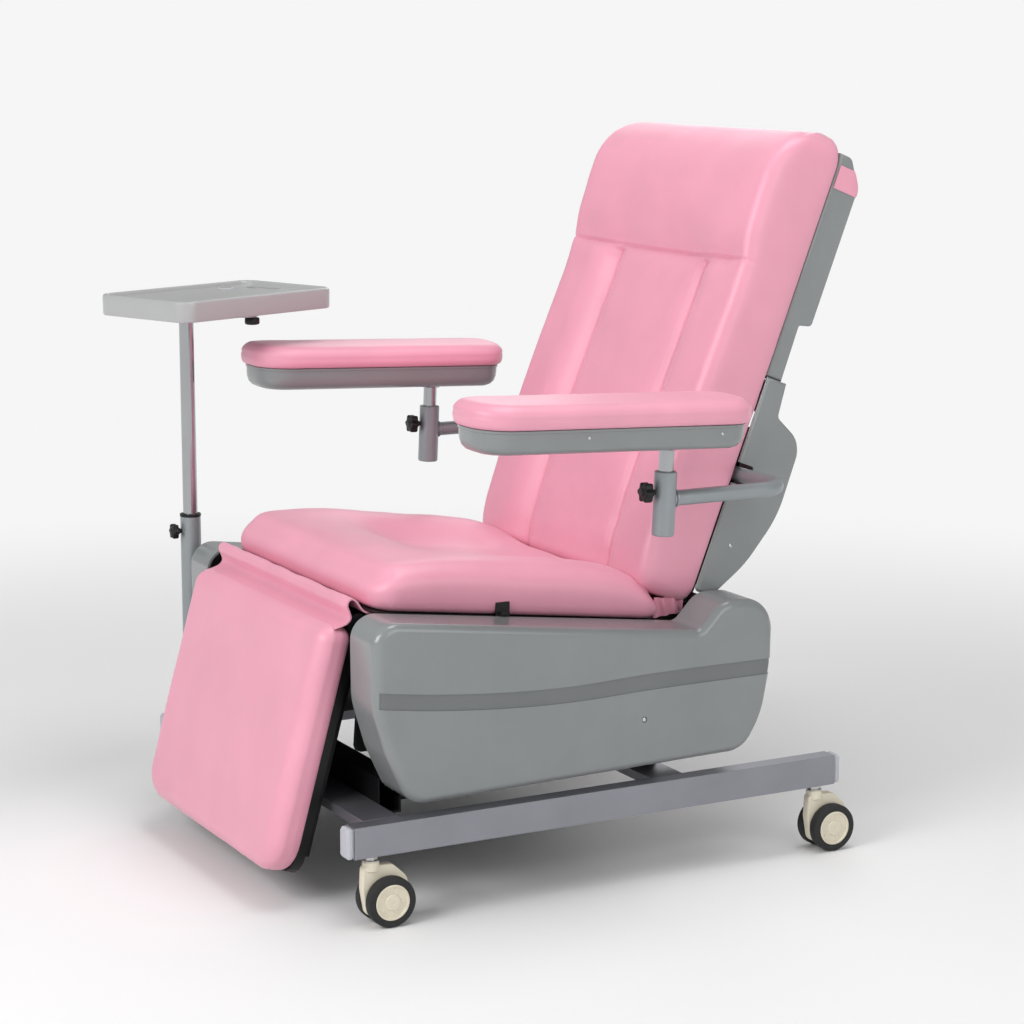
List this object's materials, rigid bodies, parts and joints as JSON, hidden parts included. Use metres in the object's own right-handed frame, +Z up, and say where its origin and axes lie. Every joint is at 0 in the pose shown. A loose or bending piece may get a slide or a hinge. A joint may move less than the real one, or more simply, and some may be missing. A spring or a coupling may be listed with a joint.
{
  "type": "reclining treatment chair",
  "caption": "Reclining blood-donation chair on casters with a lifting leg rest, level-keeping armrests and an instrument tray on a telescopic pole.",
  "frame": {"origin": "middle of the whole chair's footprint, on the floor", "axes": "+Z up, the sitter faces -Y, the sitter's left hand is towards +X"},
  "size_m": [1.0998, 1.0858, 1.2014],
  "materials": {
    "rail_paint": "satin grey metallic paint on steel tube",
    "rail_cap": "light grey moulded plastic",
    "black_frame": "satin black powder coat on welded steel",
    "grey_cover": "glossy grey moulded ABS",
    "pink_vinyl": "soft pink synthetic leather over foam, fine grain, slight sheen",
    "grey_tube": "satin grey paint on steel tube",
    "chrome_tube": "polished chrome plate",
    "black_plastic": "black moulded plastic",
    "ivory_plastic": "ivory moulded nylon",
    "wheel_tyre": "black rubber tread on an ivory hub",
    "steel": "zinc-plated steel"
  },
  "bodies": {
    "base": {"base_rail_left": "rail_paint", "base_rail_right": "rail_paint", "rail_cap_front_left": "rail_cap", "rail_cap_front_right": "rail_cap", "rail_cap_rear_left": "rail_cap", "rail_cap_rear_right": "rail_cap", "caster_stem_front_left": "steel", "caster_stem_front_right": "steel", "caster_stem_rear_left": "steel", "caster_stem_rear_right": "steel", "base_cross_front": "rail_paint", "base_cross_rear": "rail_paint", "lower_frame": "black_frame", "seat_frame": "black_frame", "side_cover_left": "grey_cover", "side_cover_right": "grey_cover", "control_box": "black_plastic", "handset_hook": "black_plastic", "seat_cushion": "pink_vinyl", "knee_flap": "pink_vinyl", "leg_drive": "black_plastic", "back_drive": "black_plastic", "tray_pole_outer": "grey_tube"},
    "leg_rest": {"leg_frame": "black_frame", "leg_board": "black_plastic", "leg_cushion": "pink_vinyl"},
    "backrest": {"back_frame": "black_frame", "back_cushion": "pink_vinyl", "back_shell_upper": "grey_cover", "back_shell_lower": "grey_cover", "head_strap": "pink_vinyl"},
    "arm_bar": {"arm_yoke": "grey_tube"},
    "level_link": {"level_link": "steel"},
    "leg_rod": {"leg_drive_rod": "steel"},
    "back_rod": {"back_drive_rod": "steel"},
    "pole": {"tray_pole_inner": "chrome_tube"},
    "tray": {"tray_bracket": "grey_tube", "tray": "grey_cover"},
    "tray_knob": {"tray_knob": "black_plastic"},
    "pole_knob": {"pole_knob": "black_plastic"},
    "post_left": {"arm_post_left": "chrome_tube"},
    "armrest_left": {"arm_tray_left": "grey_cover", "arm_pad_left": "pink_vinyl"},
    "knob_left": {"arm_knob_left": "black_plastic"},
    "post_right": {"arm_post_right": "chrome_tube"},
    "armrest_right": {"arm_tray_right": "grey_cover", "arm_pad_right": "pink_vinyl"},
    "knob_right": {"arm_knob_right": "black_plastic"},
    "swivel_front_left": {"caster_hood_front_left": "ivory_plastic"},
    "wheels_front_left": {"caster_wheels_front_left": "wheel_tyre"},
    "swivel_front_right": {"caster_hood_front_right": "ivory_plastic"},
    "wheels_front_right": {"caster_wheels_front_right": "wheel_tyre"},
    "swivel_rear_left": {"caster_hood_rear_left": "ivory_plastic"},
    "wheels_rear_left": {"caster_wheels_rear_left": "wheel_tyre"},
    "swivel_rear_right": {"caster_hood_rear_right": "ivory_plastic"},
    "wheels_rear_right": {"caster_wheels_rear_right": "wheel_tyre"}
  },
  "joints": [
    {"name": "back_recline", "type": "hinge", "parent": "base", "child": "backrest", "pos_m": [0.0579, 0.21686, 0.392], "axis": [-1, 0, 0], "range_deg": [0, 64]},
    {"name": "leg_lift", "type": "hinge", "parent": "base", "child": "leg_rest", "pos_m": [0.0579, -0.38014, 0.445], "axis": [-1, 0, 0], "range_deg": [0, 72]},
    {"name": "arm_level", "type": "hinge", "parent": "backrest", "child": "arm_bar", "pos_m": [0.0579, 0.31105, 0.63112], "axis": [-1, 0, 0], "range_deg": [-64, 0]},
    {"name": "link_swing", "type": "hinge", "parent": "base", "child": "level_link", "pos_m": [0.0579, 0.21186, 0.354], "axis": [-1, 0, 0], "range_deg": [0, 64]},
    {"name": "leg_drive_stroke", "type": "slide", "parent": "base", "child": "leg_rod", "axis": [0, -1, 0], "range_m": [0, 0.0824]},
    {"name": "back_drive_stroke", "type": "slide", "parent": "base", "child": "back_rod", "axis": [0, -1, 0], "range_m": [0, 0.0796]},
    {"name": "arm_height_left", "type": "slide", "parent": "arm_bar", "child": "post_left", "axis": [0, 0.0436, 0.999], "range_m": [-0.028, 0.05]},
    {"name": "arm_swivel_left", "type": "hinge", "parent": "post_left", "child": "armrest_left", "pos_m": [0.4759, 0.07986, 0.632], "axis": [0, 0.0436, 0.999], "range_deg": [-20, 20]},
    {"name": "arm_knob_left", "type": "hinge", "parent": "arm_bar", "child": "knob_left", "pos_m": [0.4759, 0.08034, 0.64299], "axis": [0, 0.999, -0.0436], "continuous": true},
    {"name": "arm_height_right", "type": "slide", "parent": "arm_bar", "child": "post_right", "axis": [0, 0.0436, 0.999], "range_m": [-0.028, 0.024]},
    {"name": "arm_swivel_right", "type": "hinge", "parent": "post_right", "child": "armrest_right", "pos_m": [-0.3601, 0.07986, 0.632], "axis": [0, 0.0436, 0.999], "range_deg": [-20, 20]},
    {"name": "arm_knob_right", "type": "hinge", "parent": "arm_bar", "child": "knob_right", "pos_m": [-0.3601, 0.08034, 0.64299], "axis": [0, 0.999, -0.0436], "continuous": true},
    {"name": "tray_height", "type": "slide", "parent": "base", "child": "pole", "axis": [0, 0, 1], "range_m": [-0.028, 0.15]},
    {"name": "tray_swivel", "type": "hinge", "parent": "pole", "child": "tray", "pos_m": [-0.3631, -0.39214, 0], "axis": [0, 0, 1], "range_deg": [-90, 90]},
    {"name": "pole_knob_turn", "type": "hinge", "parent": "base", "child": "pole_knob", "pos_m": [-0.3631, -0.39214, 0.484], "axis": [0, 1, 0], "continuous": true},
    {"name": "tray_knob_turn", "type": "hinge", "parent": "tray", "child": "tray_knob", "pos_m": [-0.29475, -0.29576, 0.865], "axis": [0, 0, 1], "continuous": true},
    {"name": "caster_swivel_front_left", "type": "hinge", "parent": "base", "child": "swivel_front_left", "pos_m": [0.4429, -0.42214, 0], "axis": [0, 0, 1], "continuous": true},
    {"name": "caster_roll_front_left", "type": "hinge", "parent": "swivel_front_left", "child": "wheels_front_left", "pos_m": [0.4429, -0.39714, 0.04], "axis": [1, 0, 0], "continuous": true},
    {"name": "caster_swivel_front_right", "type": "hinge", "parent": "base", "child": "swivel_front_right", "pos_m": [-0.3271, -0.42214, 0], "axis": [0, 0, 1], "continuous": true},
    {"name": "caster_roll_front_right", "type": "hinge", "parent": "swivel_front_right", "child": "wheels_front_right", "pos_m": [-0.3271, -0.39714, 0.04], "axis": [1, 0, 0], "continuous": true},
    {"name": "caster_swivel_rear_left", "type": "hinge", "parent": "base", "child": "swivel_rear_left", "pos_m": [0.4429, 0.39986, 0], "axis": [0, 0, 1], "continuous": true},
    {"name": "caster_roll_rear_left", "type": "hinge", "parent": "swivel_rear_left", "child": "wheels_rear_left", "pos_m": [0.4429, 0.42486, 0.04], "axis": [1, 0, 0], "continuous": true},
    {"name": "caster_swivel_rear_right", "type": "hinge", "parent": "base", "child": "swivel_rear_right", "pos_m": [-0.3271, 0.39986, 0], "axis": [0, 0, 1], "continuous": true},
    {"name": "caster_roll_rear_right", "type": "hinge", "parent": "swivel_rear_right", "child": "wheels_rear_right", "pos_m": [-0.3271, 0.42486, 0.04], "axis": [1, 0, 0], "continuous": true}
  ],
  "couplings": [
    {"joint": "arm_level", "follows": "back_recline", "ratio": -1},
    {"joint": "link_swing", "follows": "back_recline", "ratio": 1},
    {"joint": "back_drive_stroke", "follows": "back_recline", "m_per_rad": 0.071163},
    {"joint": "leg_drive_stroke", "follows": "leg_lift", "m_per_rad": 0.065484}
  ]
}
